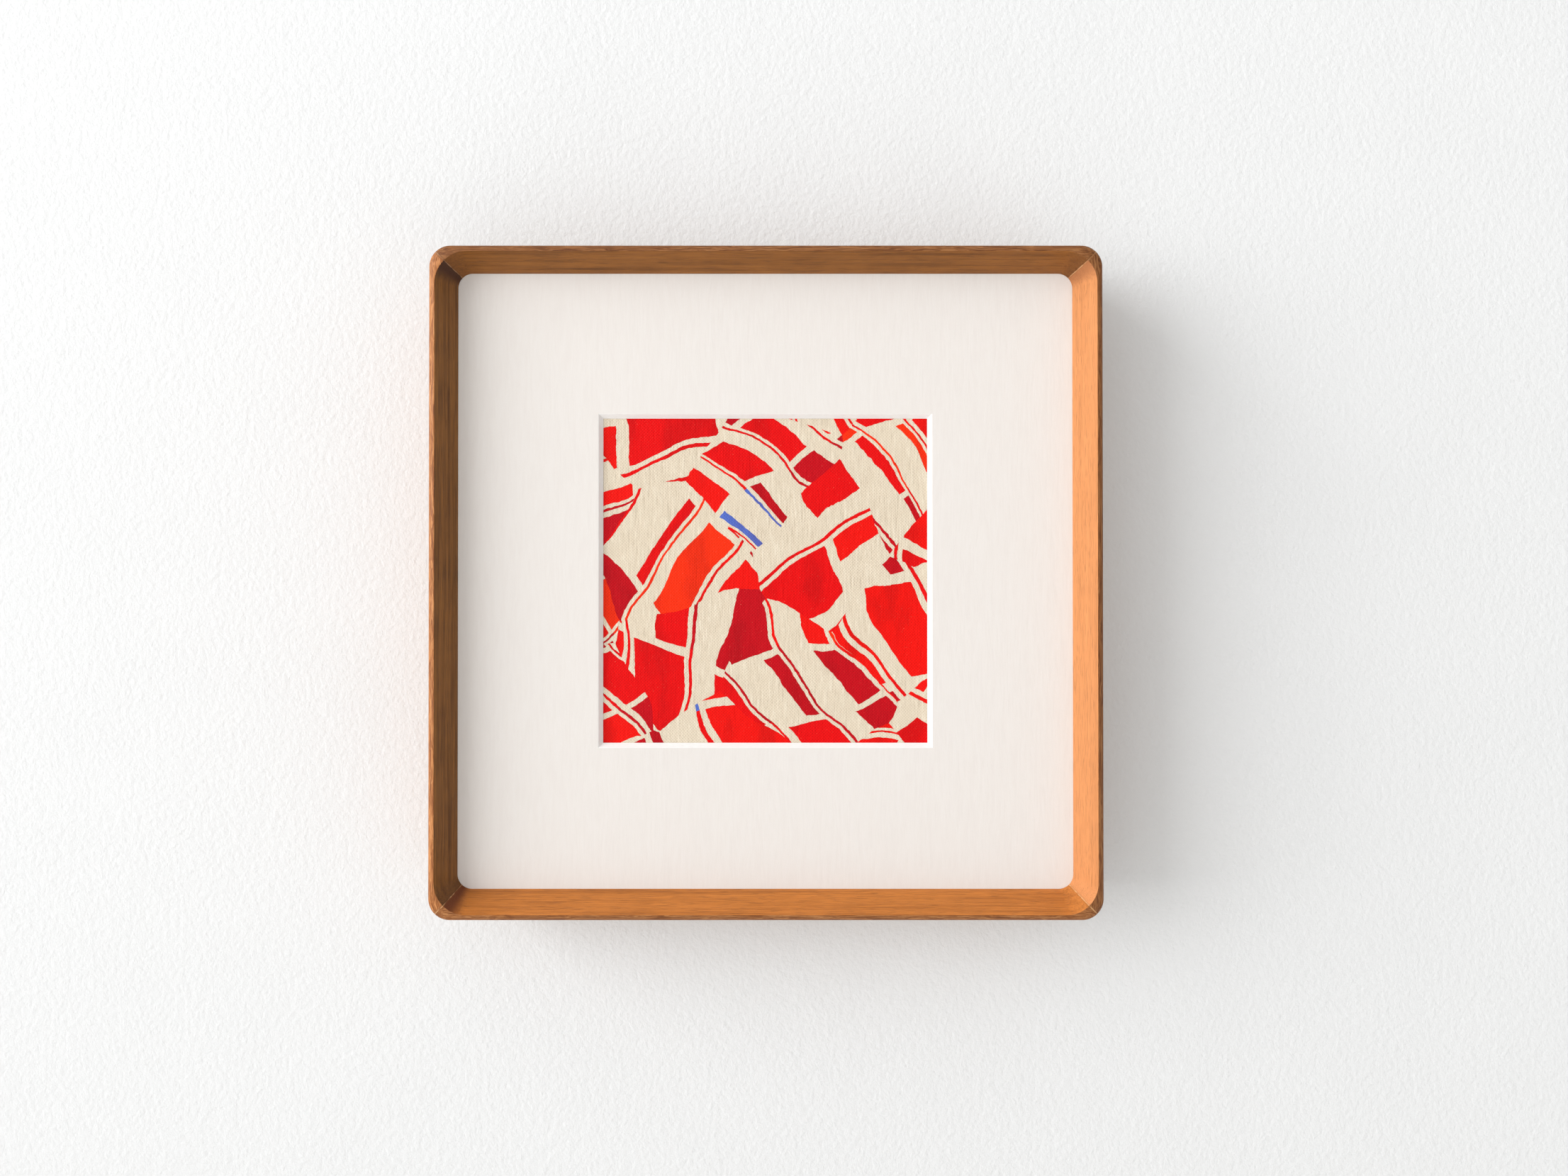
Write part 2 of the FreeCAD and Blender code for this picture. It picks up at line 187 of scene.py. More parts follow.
def grain_space(shade, along, seed):
    """The part's place turned so that its first direction runs along the grain."""
    if along == "X":
        turned = shade.place
    else:
        turned = shade.combine(shade.z, shade.depth, shade.x)
    return shade.vector("ADD", turned, (seed * 131.7, seed * 17.3, seed * 29.1))


def hardwood(name, side, board):
    """Oiled hardwood with straight grain along one rail, and a fine line of glue at its mitres.

    board has the grain's seed, the inner wall's colour (partly painted light and shade) and contrast, the
    outside's tone, the glue line's colour, and how much painted shade darkens the inner corner at the
    rail's low and high ends.
    """
    seed, wall_tone, contrast, edge_tone, glue, low_end_shade, high_end_shade = board
    outward = SIDES[side]
    shade = Shade(name, Specular_IOR_Level=0.28)
    grain = grain_space(shade, "X" if outward.z else "Z", seed)
    normal = shade.node("ShaderNodeSeparateXYZ", {0: shade.coordinates.outputs["Normal"]})
    normal_x, _, normal_z = normal.outputs
    if outward.z:
        facing = shade.math("MULTIPLY", normal_z, outward.z)
        along_grain = shade.math("ABSOLUTE", normal_x)
        across, along = shade.math("MULTIPLY", shade.z, outward.z), shade.x
    else:
        facing = shade.math("MULTIPLY", normal_x, outward.x)
        along_grain = shade.math("ABSOLUTE", normal_z)
        across, along = shade.math("MULTIPLY", shade.x, outward.x), shade.z

    dark = tuple(c * (1 - f * contrast) for c, f in zip(wall_tone, (0.42, 0.46, 0.52)))
    light = tuple(c * (1 + f * contrast) for c, f in zip(wall_tone, (0.24, 0.27, 0.34)))
    drift = shade.noise(grain, (70, 25, 25), detail=2)
    bent = shade.vector("ADD", grain, shade.combine(0.0, drift, shade.math("MULTIPLY", drift, 4.0)))
    bands = shade.noise(bent, (130, 1.9, 1.9), detail=3, roughness=0.6)
    fibres = shade.noise(bent, (26, 0.42, 0.42), detail=2, roughness=0.6)
    pores = shade.noise(bent, (7, 0.22, 0.22), detail=0)
    patches = shade.noise(grain, (24, 14, 14), detail=2)

    # The inner wall shows long quiet fibres.
    colour = shade.ramp(bands, [(0.30, dark), (0.48, wall_tone), (0.66, light)])
    colour = shade.mix(shade.between(fibres, 0.34, 0.60, 0.55, 0.0), colour, dark)
    colour = shade.mix(shade.between(fibres, 0.52, 0.72, 0.0, 0.45), colour, light)
    colour = shade.mix(shade.between(patches, 0.40, 0.66, 0.0, 0.30), colour, light)

    # Where the corner turns across the grain the fibres' ends show as mottling, and painted shade darkens
    # it.
    ends = shade.noise(grain, (0.55, 0.45, 0.45), detail=3, roughness=0.75)
    at_corner = shade.between(along_grain, 0.10, 0.55)
    mottled = shade.ramp(ends, [(0.36, dark), (0.5, wall_tone), (0.62, tuple(c * 1.15 for c in light))])
    colour = shade.mix(shade.math("MULTIPLY", at_corner, 0.38), colour, mottled)
    # Painted shade in the inner corners, stronger at one end of the rail than the other.
    painted_corner_shade = shade.between(along, -100.0, 100.0, low_end_shade, high_end_shade)
    corner_shade_colour = tuple(c * f for c, f in zip(wall_tone, (0.30, 0.22, 0.26)))
    in_corner = shade.between(along_grain, 0.02, 0.50)
    colour = shade.mix(shade.math("MULTIPLY", in_corner, painted_corner_shade), colour, corner_shade_colour)

    # The outside is a little darker. Its rounded front edge is cut across the growth rings and streaked.
    edge_dark, edge_middle, edge_light = [tuple(c * edge_tone for c in tone) for tone in EDGE_TONES]
    sway = shade.noise(grain, (12, 3, 3), detail=2)
    swayed = shade.vector("ADD", grain, shade.combine(0.0, sway, shade.math("MULTIPLY", sway, 3.5)))
    streaks = shade.noise(swayed, (15, 0.50, 0.50), detail=4, roughness=0.62)
    plain = shade.math("ADD", shade.math("MULTIPLY", bands, 0.5), shade.math("MULTIPLY", fibres, 0.5))
    rounded = shade.between(shade.depth, 2.2, 3.4, 1.0, 0.0)
    figure = shade.math("ADD", shade.math("MULTIPLY", streaks, rounded),
                        shade.math("MULTIPLY", plain, shade.math("SUBTRACT", 1.0, rounded)))
    outside = shade.ramp(figure, [(0.35, edge_dark), (0.48, edge_middle), (0.62, edge_light)])
    colour = shade.mix(shade.between(facing, -0.30, -0.12), colour, outside)

    pore_mask = shade.between(pores, 0.64, 0.72)
    colour = shade.mix(shade.math("MULTIPLY", pore_mask, 0.40), colour, tuple(c * 0.5 for c in dark))

    from_mitre = shade.math("ABSOLUTE", shade.math("SUBTRACT", across, shade.math("ABSOLUTE", along)))
    uneven = shade.noise(shade.place, (2.5, 2.5, 2.5), detail=2)
    line_edge = shade.between(uneven, 0.3, 0.7, 0.12, 0.40)
    hairline = shade.between(shade.math("SUBTRACT", from_mitre, line_edge), -0.08, 0.06, 1.0, 0.0)
    beside = shade.between(from_mitre, 0.3, 1.6, 0.28, 0.0)
    colour = shade.mix(beside, colour, tuple(c * 0.6 for c in dark))
    line_strength = shade.math("MULTIPLY", hairline, shade.between(uneven, 0.35, 0.6, 0.25, 0.75))
    colour = shade.mix(line_strength, colour, glue)

    height = shade.math("SUBTRACT", shade.math("MULTIPLY", fibres, 0.6), pore_mask)
    normal = shade.bump(height, 0.05, 0.8)
    return shade.finish(colour, shade.between(fibres, 0.3, 0.7, 0.42, 0.58), normal)


def key_wood():
    """The slip feathers' wood, darker than the rails and with its grain across the corner."""
    shade = Shade("feather_hardwood", Roughness=0.5)
    grain = grain_space(shade, "X", 9.0)
    bands = shade.noise(grain, (20, 0.5, 0.5), detail=3)
    colour = shade.ramp(bands, [(0.35, (0.14, 0.052, 0.018)), (0.65, (0.31, 0.125, 0.044))])
    return shade.finish(colour, shade.between(bands, 0.3, 0.7, 0.42, 0.56), shade.bump(bands, 0.03))


def mat_face():
    """Off-white mat paper with faint upright ripples and a fine tooth."""
    shade = Shade("mat_paper", Roughness=0.92, Specular_IOR_Level=0.2)
    sway = shade.noise(shade.place, (9, 9, 40), detail=1)
    swayed = shade.vector("ADD", shade.place, shade.combine(shade.math("MULTIPLY", sway, 5.0), 0.0, 0.0))
    ripple = shade.noise(swayed, (1.4, 1.4, 12), detail=3, roughness=0.6)
    tooth = shade.noise(shade.place, (0.5, 0.5, 0.9), detail=3, roughness=0.7)
    tints = shade.ramp(ripple, [(0.36, (0.764, 0.728, 0.700)), (0.5, (0.774, 0.740, 0.711)),
                                (0.64, (0.780, 0.748, 0.721))])
    colour = shade.mix(shade.between(tooth, 0.35, 0.65, 0.05, 0.0), tints, (0.62, 0.57, 0.52))
    normal = shade.bump(tooth, 0.02, 0.6, shade.bump(ripple, 0.09, 0.8))
    return shade.finish(colour, shade.between(tooth, 0.3, 0.7, 0.86, 0.97), normal)


def mat_core():
    """The board's white core, as the bevel cutter leaves it."""
    shade = Shade("mat_core", Roughness=0.95, Specular_IOR_Level=0.2)
    cut = shade.noise(shade.place, (2.0, 0.25, 2.0), detail=3)
    colour = shade.ramp(cut, [(0.3, (0.84, 0.83, 0.82)), (0.7, (0.90, 0.895, 0.89))])
    return shade.finish(colour, 0.95, shade.bump(cut, 0.04))


def board(name, light, dark, cell):
    """Plain card or paper with fibres in it."""
    shade = Shade(name, Roughness=0.93, Specular_IOR_Level=0.2)
    fibres = shade.noise(shade.place, cell, detail=4, roughness=0.6)
    colour = shade.ramp(fibres, [(0.3, dark), (0.7, light)])
    return shade.finish(colour, shade.between(fibres, 0.3, 0.7, 0.88, 0.97), shade.bump(fibres, 0.05))


def weave_height(shade, pitch):
    """A plain weave across the picture plane, from 0 to 1."""
    wander = shade.noise(shade.place, (6, 6, 6), detail=2)
    turn = 2 * math.pi / (2 * pitch)
    across = shade.math("SINE", shade.math("MULTIPLY", shade.math("ADD", shade.x, wander), turn))
    up = shade.math("SINE", shade.math("MULTIPLY", shade.math("ADD", shade.z, wander), turn))
    return shade.math("ADD", shade.math("MULTIPLY", shade.math("MULTIPLY", across, up), 0.5), 0.5)


def painted_linen():
    """Linen painted with a generic patchwork: each patch has red blocks on cream at its own slant."""
    shade = Shade("painted_linen", Specular_IOR_Level=0.12)
    cream_light, cream_dark = (0.76, 0.66, 0.52), (0.50, 0.41, 0.30)
    bend = shade.node("ShaderNodeTexNoise", {"Vector": shade.place, "Scale": 0.022, "Detail": 1.0})
    hand = shade.node("ShaderNodeTexNoise", {"Vector": shade.place, "Scale": 0.30, "Detail": 2.0})
    bent = shade.vector("ADD", shade.place, shade.scaled(bend.outputs["Color"], 26.0))
    bent = shade.vector("ADD", bent, shade.scaled(hand.outputs["Color"], 1.2))
    flat = shade.node("ShaderNodeSeparateXYZ", {0: bent})
    plane = shade.combine(flat.outputs[0], flat.outputs[2], 0.0)
    patches = shade.node("ShaderNodeTexVoronoi", {"Vector": plane, "Scale": 0.019, "Randomness": 0.95},
                         voronoi_dimensions="2D")
    slant, width, tint = shade.node("ShaderNodeSeparateColor", {0: patches.outputs["Color"]}).outputs

    def stripes(turn, narrowest, widest):
        """The number of the stripe a place is in and how far across it, with stripes at this turn."""
        angle = shade.math("ADD", shade.math("MULTIPLY", slant, math.tau), turn)
        across = shade.math("ADD", shade.math("MULTIPLY", flat.outputs[0], shade.math("COSINE", angle)),
                            shade.math("MULTIPLY", flat.outputs[2], shade.math("SINE", angle)))
        size = shade.between(width, 0.0, 1.0, narrowest, widest)
        place = shade.math("ADD", shade.math("DIVIDE", across, size), shade.math("MULTIPLY", tint, 7.0))
        return shade.math("FLOOR", place), shade.math("FRACT", place)

    number, share = stripes(0.0, 20.0, 40.0)
    cross_number, cross_share = stripes(1.25, 30.0, 50.0)
    chance = shade.node("ShaderNodeTexWhiteNoise", {0: shade.combine(number, slant, cross_number)},
                        noise_dimensions="3D").outputs["Value"]
    block = shade.math("LESS_THAN", share, shade.between(chance, 0.0, 1.0, 0.18, 0.80))
    cut = shade.math("GREATER_THAN", cross_share, 0.10)
    past_start = shade.math("GREATER_THAN", share, 0.88)
    before_end = shade.math("LESS_THAN", share, 0.93)
    line = shade.math("MULTIPLY", past_start, before_end)
    covered = shade.math("MAXIMUM", shade.math("MULTIPLY", block, cut), line)
    paint_chance = shade.node("ShaderNodeTexWhiteNoise", {0: shade.combine(cross_number, number, tint)},
                              noise_dimensions="3D").outputs["Value"]
    paint = shade.ramp(paint_chance, [(0.0, (0.80, 0.001, 0.002)), (0.34, (0.88, 0.004, 0.001)),
                                      (0.60, (0.98, 0.030, 0.002)), (0.72, (0.55, 0.001, 0.008)),
                                      (0.95, (0.085, 0.16, 0.58))], constant=True)

    weave = weave_height(shade, THREAD_PITCH)
    brush = shade.noise(shade.place, (1.6, 1.6, 7), detail=3, roughness=0.6)
    # Painted shade: the cream is darker in the weave's hollows.
    cream = shade.mix(shade.between(weave, 0.05, 0.75, 0.38, 0.0), cream_light, cream_dark)
    ridges = shade.noise(shade.place, (0.8, 0.8, 9), detail=4, roughness=0.7)
    # Painted light and shade on the brush marks: lighter along their raised ridges, darker in their
    # valleys.
    cream = shade.mix(shade.between(brush, 0.5, 0.72, 0.0, 0.4), cream, (0.84, 0.76, 0.62))
    cream = shade.mix(shade.between(ridges, 0.54, 0.66, 0.0, 0.55), cream, (0.88, 0.80, 0.66))
    cream = shade.mix(shade.between(ridges, 0.34, 0.46, 0.42, 0.0), cream, cream_dark)
    deep = shade.mix(0.55, paint, (0.10, 0.0, 0.002))
    # Painted shade in the weave's hollows, then a painted highlight on the brush ridges.
    paint = shade.mix(shade.between(weave, 0.05, 0.6, 0.42, 0.0), paint, deep)
    paint = shade.mix(shade.between(brush, 0.5, 0.75, 0.0, 0.25), paint, shade.scaled(paint, 1.15))
    load = shade.noise(shade.place, (11, 11, 26), detail=2)
    paint = shade.mix(shade.between(load, 0.42, 0.68, 0.0, 0.40), paint, deep)
    # Painted highlights: small glints on the red paint.
    painted_glints = shade.noise(shade.place, (0.5, 0.5, 0.5), detail=1)
    paint = shade.mix(shade.between(painted_glints, 0.74, 0.80, 0.0, 0.5), paint, (0.95, 0.30, 0.20))
    colour = shade.mix(covered, cream, paint)

    height = shade.math("ADD", shade.math("MULTIPLY", weave, 0.6), shade.math("MULTIPLY", covered, 0.35))
    height = shade.math("ADD", height, shade.math("MULTIPLY", brush, 0.6))
    height = shade.math("ADD", height, shade.math("MULTIPLY", ridges, 1.4))
    normal = shade.bump(height, 0.20, 1.0)
    return shade.finish(colour, shade.between(covered, 0.0, 1.0, 0.85, 0.5), normal)


def plywood(name, ply, seed):
    """Birch plywood: pale face veneers, and light and dark plies wherever its edge shows."""
    shade = Shade(name, Roughness=0.6, Specular_IOR_Level=0.35)
    grain = grain_space(shade, "X", seed)
    figure = shade.noise(grain, (110, 6, 7), detail=4, roughness=0.65, distortion=0.6)
    fibres = shade.noise(grain, (11, 0.35, 0.35), detail=3)
    face_dark, face_middle, face_light = (0.50, 0.34, 0.19), (0.62, 0.46, 0.28), (0.70, 0.55, 0.36)
    face = shade.ramp(figure, [(0.32, face_dark), (0.5, face_middle), (0.7, face_light)])
    face = shade.mix(shade.between(fibres, 0.4, 0.7, 0.3, 0.0), face, (0.42, 0.27, 0.14))

    layer = shade.math("FRACT", shade.math("DIVIDE", shade.depth, 2 * ply))
    cross = shade.between(layer, 0.47, 0.53)
    pits = shade.noise(shade.place, (0.5, 0.3, 0.5), detail=3, roughness=0.7)
    cross_colour = shade.ramp(pits, [(0.35, (0.17, 0.09, 0.04)), (0.6, (0.40, 0.25, 0.13))])
    long_colour = shade.ramp(fibres, [(0.3, (0.48, 0.32, 0.18)), (0.7, (0.68, 0.52, 0.33))])
    edge = shade.mix(cross, long_colour, cross_colour)
    from_glue = shade.math("ABSOLUTE", shade.math("SUBTRACT", layer, 0.5))
    glue_line = shade.between(from_glue, 0.0, 0.05, 0.6, 0.0)
    edge = shade.mix(glue_line, edge, (0.10, 0.05, 0.025))

    normal_y = shade.node("ShaderNodeSeparateXYZ", {0: shade.coordinates.outputs["Normal"]}).outputs[1]
    on_face = shade.between(shade.math("ABSOLUTE", normal_y), 0.85, 0.95)
    colour = shade.mix(on_face, edge, face)
    height = shade.math("ADD", shade.math("MULTIPLY", fibres, 0.6), shade.math("MULTIPLY", cross, -0.3))
    return shade.finish(colour, shade.between(fibres, 0.3, 0.7, 0.52, 0.70), shade.bump(height, 0.06))


def plated_metal(name, light, dark, rough):
    """Plated metal with faint brushing, cloudy plating and small scuffs."""
    shade = Shade(name, Metallic=1.0, Roughness=rough)
    brushed = shade.noise(shade.place, (0.12, 0.12, 5), detail=2)
    clouds = shade.noise(shade.place, (3, 3, 3), detail=3)
    colour = shade.ramp(clouds, [(0.3, dark), (0.7, light)])
    scuffs = shade.between(shade.noise(shade.place, (4, 0.4, 0.4), detail=2), 0.62, 0.7)
    roughness = shade.math("ADD", shade.between(brushed, 0.3, 0.7, rough - 0.06, rough + 0.08),
                           shade.math("MULTIPLY", scuffs, 0.15))
    return shade.finish(colour, roughness, shade.bump(brushed, 0.012, 0.5))


def felt():
    shade = Shade("bumper_felt", Roughness=1.0, Specular_IOR_Level=0.1, Sheen_Weight=0.35)
    fuzz = shade.noise(shade.place, (0.35, 0.35, 0.35), detail=5, roughness=0.8)
    colour = shade.ramp(fuzz, [(0.3, (0.018, 0.018, 0.020)), (0.7, (0.075, 0.074, 0.072))])
    return shade.finish(colour, 1.0, shade.bump(fuzz, 0.25))


def linen_tape():
    shade = Shade("linen_tape", Roughness=0.9)
    weave = weave_height(shade, 0.45)
    # Painted light and shade: lighter on the raised threads, darker where the weave dips.
    colour = shade.mix(weave, (0.52, 0.49, 0.42), (0.80, 0.77, 0.69))
    return shade.finish(colour, 0.9, shade.bump(weave, 0.06))


def painted_wall():
    """A white wall with the fine orange peel of a roller."""
    shade = Shade("painted_wall", Roughness=0.9, Specular_IOR_Level=0.15)
    peel = shade.noise(shade.place, (2.6, 2.6, 2.9), detail=3, roughness=0.6)
    broad = shade.noise(shade.place, (60, 60, 60), detail=2)
    colour = shade.ramp(broad, [(0.3, (0.782, 0.795, 0.805)), (0.7, (0.792, 0.805, 0.815))])
    front = shade.finish(colour, 0.9, shade.bump(peel, 0.42, 1.0))
    tree = shade.tree
    output = next(n for n in tree.nodes if n.type == "OUTPUT_MATERIAL")
    clear = shade.node("ShaderNodeBsdfTransparent")
    behind = shade.node("ShaderNodeNewGeometry").outputs["Backfacing"]
    choices = {0: behind, 1: shade.shader.outputs[0], 2: clear.outputs[0]}
    one_sided = shade.node("ShaderNodeMixShader", choices)
    tree.links.new(one_sided.outputs[0], output.inputs["Surface"])
    return front


# ------------------------------------------------------------------ meshes

def new_piece(name, vertices, faces, materials, smooth_angle=None):
    mesh = bpy.data.meshes.new(name)
    mesh.from_pydata([tuple(v) for v in vertices], [], faces)
    mesh.validate()
    for material in materials:
        mesh.materials.append(material)
    if smooth_angle:
        mesh.shade_smooth()
        mesh.set_sharp_from_angle(angle=math.radians(smooth_angle))
    made = bpy.data.objects.new(name, mesh)
    bpy.context.scene.collection.objects.link(made)
    return made


def turned(side, along, across):
    """The x and z of a point on one side of the frame, from its place along and across that side."""
    out = SIDES[side]
    return along * out.z + across * out.x, across * out.z - along * out.x


def rail_section():
    """The rail's closed outline as (inset from the outside, depth behind the ridge, corner radius)."""
    def outer_radius(inset):
        return OUTER_RADIUS + (RIDGE_RADIUS - OUTER_RADIUS) * inset / RIDGE_INSET

    points = [(REBATE_INSET, DEPTH, 0.4 * MM), (BACK_CHAMFER, DEPTH, OUTER_RADIUS - BACK_CHAMFER)]
    points.append((0.0, DEPTH - BACK_CHAMFER, OUTER_RADIUS))
    steps = 8
    for i in range(steps):
        share = i / steps
        inset = RIDGE_INSET * (0.16 * share * (1 - share) + share * share)
        depth = ROUNDOVER_DEPTH * ((1 - share) ** 2 + 0.5 * share * (1 - share))
        points.append((inset, depth, outer_radius(inset)))
    points.append((RIDGE_INSET - ARRIS, ARRIS * 0.22, RIDGE_RADIUS))
    points.append((RIDGE_INSET + ARRIS * 0.1, ARRIS * 0.3, RIDGE_RADIUS))
    splay_steps = 6
    for i in range(splay_steps + 1):
        share = ARRIS / LIP_DEPTH * 1.4 + (1 - ARRIS / LIP_DEPTH * 2.4) * i / splay_steps
        lean = SPLAY_INSET * share
        points.append((RIDGE_INSET + lean, LIP_DEPTH * share, RIDGE_RADIUS - lean))
    sight = RIDGE_INSET + SPLAY_INSET
    points.append((sight - ARRIS * 0.6, LIP_DEPTH, RIDGE_RADIUS - SPLAY_INSET))
    points.append((REBATE_INSET, LIP_DEPTH, 0.4 * MM))
    return points


def rail_stations():
    """Places along a rail from mitre to mitre: (end, share of 45 degrees) or (0, share of the straight)."""
    arc_steps, straight_steps = 14, 26
    stations = [(-1, 1 - i / arc_steps) for i in range(arc_steps)]
    stations += [(0, -1 + 2 * i / straight_steps) for i in range(straight_steps + 1)]
    stations += [(1, (i + 1) / arc_steps) for i in range(arc_steps)]
    return stations


def station_point(station, inset, radius):
    end, share = station
    straight = HALF - inset - radius
    if end == 0:
        return straight * share, HALF - inset
    angle = math.radians(45 * share)
    return end * (straight + radius * math.sin(angle)), straight + radius * math.cos(angle)


def make_rail(side, material, seed):
    """One rail from mitre to mitre, with the outer edge's width a little uneven as sanding leaves it."""
    section = rail_section()
    stations = rail_stations()
    vertices = []
    for station in stations:
        for inset, depth, radius in section:
            along, across = station_point(station, inset, radius)
            if 0 < inset < RIDGE_INSET * 1.05 and depth < ROUNDOVER_DEPTH:
                wave = noise.noise(Vector((along * 28 + seed * 7.7, depth * 90, seed)))
                depth = max(0.0, depth + 0.14 * MM * wave * (1 - depth / ROUNDOVER_DEPTH) * depth / MM)
            x, z = turned(side, along, across)
            vertices.append((x, RIDGE_Y + depth, CENTRE.z + z))
    count = len(section)
    faces = []
    for i in range(len(stations) - 1):
        for j in range(count):
            a, b = i * count + j, i * count + (j + 1) % count
            faces.append((a, b, b + count, a + count))
    faces.append(tuple(range(count - 1, -1, -1)))
    faces.append(tuple(range(len(vertices) - count, len(vertices))))
    return new_piece("hardwood_rail_" + side, vertices, faces, [material], smooth_angle=38)


def key_outline(reach_out):
    """A feather's outline in the top right corner, as (x, z). reach_out makes it a cutter."""
    corner = (HALF - OUTER_RADIUS) * 2 + OUTER_RADIUS * math.sqrt(2)
    cut_line = corner - KEY_REACH * math.sqrt(2)
    if reach_out:
        edge = HALF + reach_out
        return [(cut_line - edge, edge), (edge, edge), (edge, cut_line - edge)]
    centre = HALF - OUTER_RADIUS
    steps = 20
    arc = [
        (centre + OUTER_RADIUS * math.sin(math.pi / 2 * i / steps),
         centre + OUTER_RADIUS * math.cos(math.pi / 2 * i / steps))
        for i in range(steps + 1)
    ]
    return [(cut_line - HALF, HALF)] + arc + [(HALF, cut_line - HALF)]


def make_key(name, sign_x, sign_z, reach_out, materials):
    outline = [(x * sign_x, z * sign_z) for x, z in key_outline(reach_out)]
    if sign_x * sign_z < 0:
        outline.reverse()
    front, back = RIDGE_Y + KEY_FRONT, RIDGE_Y + KEY_FRONT + KEY_THICKNESS
    vertices = [(x, y, CENTRE.z + z) for y in (front, back) for x, z in outline]
    count = len(outline)
    faces = [tuple(range(count - 1, -1, -1)), tuple(range(count, 2 * count))]
    for i in range(count):
        j = (i + 1) % count
        faces.append((i, j, j + count, i + count))
    return new_piece(name, vertices, faces, materials, smooth_angle=38)


def cut_out(piece, cutter):
    """Takes the cutter's shape out of the piece for good."""
    modifier = piece.modifiers.new("slot", "BOOLEAN")
    modifier.object = cutter
    modifier.solver = "EXACT"
    bpy.context.view_layer.update()
    evaluated = piece.evaluated_get(bpy.context.evaluated_depsgraph_get())
    mesh = bpy.data.meshes.new_from_object(evaluated)
    piece.modifiers.clear()
    piece.data = mesh


def make_mat(face, core):
    """The window mat: paper on the front, and the white core on its bevel and its edges."""
    edge = 0.12 * MM
    loops = [
        (MAT_HIGH.x, MAT_HIGH.y), (MAT_HIGH.x, MAT_LOW.y), (WINDOW_HALF + edge, MAT_LOW.y),
        (WINDOW_HALF - edge, MAT_LOW.y + edge), (WINDOW_HALF - CORE_BEVEL, MAT_HIGH.y),
    ]
    vertices = [
        (sx * half, y, CENTRE.z + sz * half)
        for half, y in loops
        for sx, sz in ((-1, -1), (1, -1), (1, 1), (-1, 1))
    ]
    faces, slots = [], []
    for i in range(len(loops)):
        following = (i + 1) % len(loops)
        for j in range(4):
            k = (j + 1) % 4
            faces.append((i * 4 + j, i * 4 + k, following * 4 + k, following * 4 + j))
            slots.append(0 if i in (1, 4) else 1)
    made = new_piece("mat_board_with_window", vertices, faces, [face, core])
    for polygon, slot in zip(made.data.polygons, slots):
        polygon.material_index = slot
    return made


def make_canvas(material):
    """The linen sheet, with the slight waviness of hand-mounted cloth on its face."""
    steps = 120
    size = CANVAS_HIGH.x - CANVAS_LOW.x
    front, back = [], []
    for j in range(steps + 1):
        for i in range(steps + 1):
            x = CANVAS_LOW.x + size * i / steps
            z = CANVAS_LOW.z + size * j / steps
            wave = noise.fractal(Vector((x * 45, z * 45, 4.2)), 0.8, 2.0, 3)
            front.append((x, CANVAS_LOW.y + (0.12 + 0.07 * wave) * MM, z))
            back.append((x, CANVAS_HIGH.y, z))
    row = steps + 1
    faces = []
    for j in range(steps):
        for i in range(steps):
            a = j * row + i
            faces.append((a, a + 1, a + 1 + row, a + row))
            b = a + row * row
            faces.append((b, b + row, b + 1 + row, b + 1))
    rim = [i for i in range(row)] + [j * row + steps for j in range(1, row)]
    rim += [steps * row + i for i in range(steps - 1, -1, -1)] + [j * row for j in range(steps - 1, 0, -1)]
    for a, b in zip(rim, rim[1:] + rim[:1]):
        faces.append((b, a, a + row * row, b + row * row))
    return new_piece("linen_picture", front + back, faces, [material], smooth_angle=60)


def plane(name, corners, material):
    return new_piece(name, corners, [tuple(range(len(corners)))], [material])


# ------------------------------------------------------------------ the object

def stand_in(piece, node):
    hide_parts(node)
    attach(piece, "frame")


def build_rails():
    pale_glue, brown_glue = (0.66, 0.38, 0.17), (0.36, 0.19, 0.09)
    # Each side's tones are partly the wood's own and partly painted light and shade: the left and top inner
    # walls are darkened as painted shade, the right and bottom ones lightened as painted light, and the
    # glue lines are paler on the lit rails. The outside tones differ per side too; the last two numbers are
    # painted shade in the inner corners.
    board_tones_with_painted_light = {
        "top": (3.1, (0.285, 0.106, 0.019), 1.0, 0.60, brown_glue, 0.25, 0.45),
        "right": (5.4, (0.61, 0.245, 0.086), 0.35, 0.60, pale_glue, 0.0, 0.45),
        "bottom": (8.2, (0.53, 0.178, 0.032), 0.8, 0.77, pale_glue, 1.0, 0.0),
        "left": (1.6, (0.218, 0.088, 0.0185), 1.35, 1.0, brown_glue, 0.35, 1.0),
    }
    rails = {}
    for side, board in board_tones_with_painted_light.items():
        rails[side] = make_rail(side, hardwood("hardwood_" + side, side, board), board[0])
    feather = key_wood()
    for vertical, sign_z in (("top", 1), ("bottom", -1)):
        for side, sign_x in (("left", -1), ("right", 1)):
            cutter = make_key("cutter", sign_x, sign_z, 2 * MM, [feather])
            for rail in (rails[vertical], rails[side]):
                cut_out(rail, cutter)
            bpy.data.objects.remove(cutter)
            name = "corner_key_%s_%s" % (vertical, side)
            key = make_key("feather_%s_%s" % (vertical, side), sign_x, sign_z, 0, [feather])
            stand_in(key, name)
    for side, rail in rails.items():
        rail.data.shade_smooth()
        rail.data.set_sharp_from_angle(angle=math.radians(38))
        stand_in(rail, "rail_" + side)


def build_picture():
    stand_in(make_mat(mat_face(), mat_core()), "window_mat")
    canvas = make_canvas(painted_linen())
    stand_in(canvas, "artwork_canvas")


